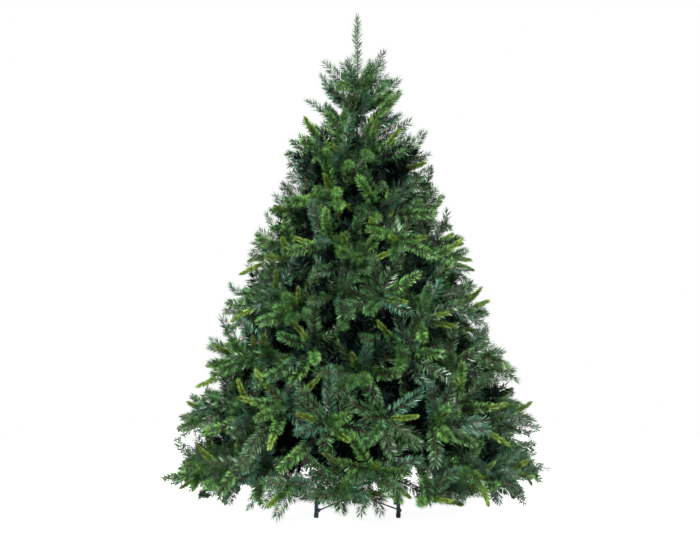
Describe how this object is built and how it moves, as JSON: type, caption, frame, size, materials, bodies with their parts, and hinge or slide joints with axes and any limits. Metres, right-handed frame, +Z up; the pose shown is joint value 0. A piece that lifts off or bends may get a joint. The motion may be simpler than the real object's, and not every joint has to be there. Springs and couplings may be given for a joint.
{
  "type": "artificial christmas tree",
  "caption": "Full-size artificial Christmas tree, undecorated: green needle tips on hinged boughs round a steel pole, in a folding steel stand with splayed legs.",
  "frame": {"origin": "on the floor under the axis of the pole, which is the middle of the crown's width to within 15 mm", "axes": "+Z up along the pole; -Y towards the viewer of the picture; +X to that viewer's right"},
  "size_m": [1.5531, 1.5708, 2.1],
  "materials": {
    "foliage": "matte green needles",
    "pole": "satin dark green paint",
    "bough": "matte brown wrap on wire",
    "stand": "satin dark green paint",
    "caps": "matte black"
  },
  "bodies": {
    "root": {"trunk_pole": "pole", "stand_hub": "stand", "clamp_screw": "caps", "leg_1": "stand", "brace_1": "stand", "foot_cap_1": "caps", "leg_2": "stand", "brace_2": "stand", "foot_cap_2": "caps", "leg_3": "stand", "brace_3": "stand", "foot_cap_3": "caps", "leg_4": "stand", "brace_4": "stand", "foot_cap_4": "caps", "bough_tier_1_1": "bough", "foliage_tier_1_1": "foliage", "bough_tier_1_2": "bough", "foliage_tier_1_2": "foliage", "bough_tier_1_3": "bough", "foliage_tier_1_3": "foliage", "bough_tier_1_4": "bough", "foliage_tier_1_4": "foliage", "bough_tier_1_5": "bough", "foliage_tier_1_5": "foliage", "bough_tier_1_6": "bough", "foliage_tier_1_6": "foliage", "bough_tier_2_1": "bough", "foliage_tier_2_1": "foliage", "bough_tier_2_2": "bough", "foliage_tier_2_2": "foliage", "bough_tier_2_3": "bough", "foliage_tier_2_3": "foliage", "bough_tier_2_4": "bough", "foliage_tier_2_4": "foliage", "bough_tier_2_5": "bough", "foliage_tier_2_5": "foliage", "bough_tier_2_6": "bough", "foliage_tier_2_6": "foliage", "foliage_tier_3_1": "foliage", "foliage_tier_3_2": "foliage", "foliage_tier_3_3": "foliage", "foliage_tier_3_4": "foliage", "foliage_tier_3_5": "foliage", "foliage_tier_4_1": "foliage", "foliage_tier_4_2": "foliage", "foliage_tier_4_3": "foliage", "foliage_tier_4_4": "foliage", "foliage_tier_4_5": "foliage", "foliage_tier_5_1": "foliage", "foliage_tier_5_2": "foliage", "foliage_tier_5_3": "foliage", "foliage_tier_5_4": "foliage", "foliage_tier_6_1": "foliage", "foliage_tier_6_2": "foliage", "foliage_tier_6_3": "foliage", "foliage_tier_7_1": "foliage", "foliage_tier_7_2": "foliage", "foliage_tier_7_3": "foliage", "foliage_top": "foliage"}
  },
  "joints": []
}
